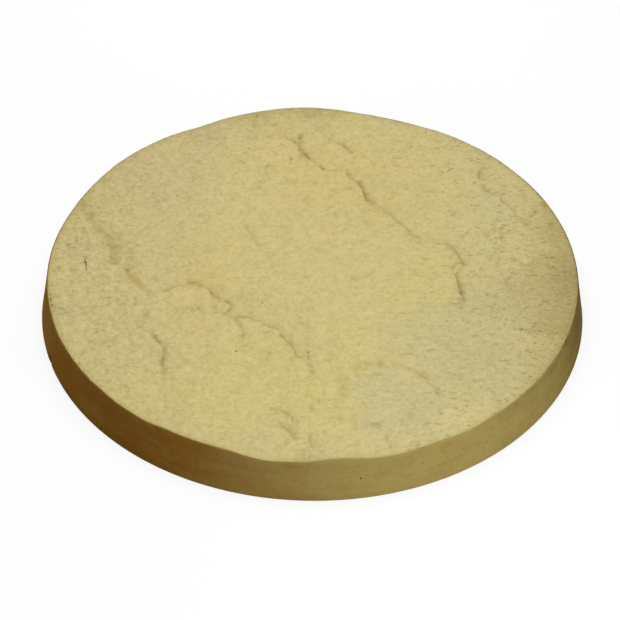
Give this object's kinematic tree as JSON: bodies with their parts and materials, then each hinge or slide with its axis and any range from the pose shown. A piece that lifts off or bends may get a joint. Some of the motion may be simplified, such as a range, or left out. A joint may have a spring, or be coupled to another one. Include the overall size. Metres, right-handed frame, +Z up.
{
  "type": "garden stepping stone",
  "caption": "Round concrete stepping stone with a riven face, a moulded rim that widens to the foot and a flat base.",
  "frame": {"origin": "centre of the flat base, on the ground it lies on", "axes": "+Z up out of the riven face; +Y away from the camera and +X to its right, as the picture shows the stone"},
  "size_m": [0.4496, 0.4496, 0.0413],
  "materials": {
    "cast_stone": "matt"
  },
  "bodies": {
    "root": {"stepping_stone": "cast_stone"}
  },
  "joints": []
}
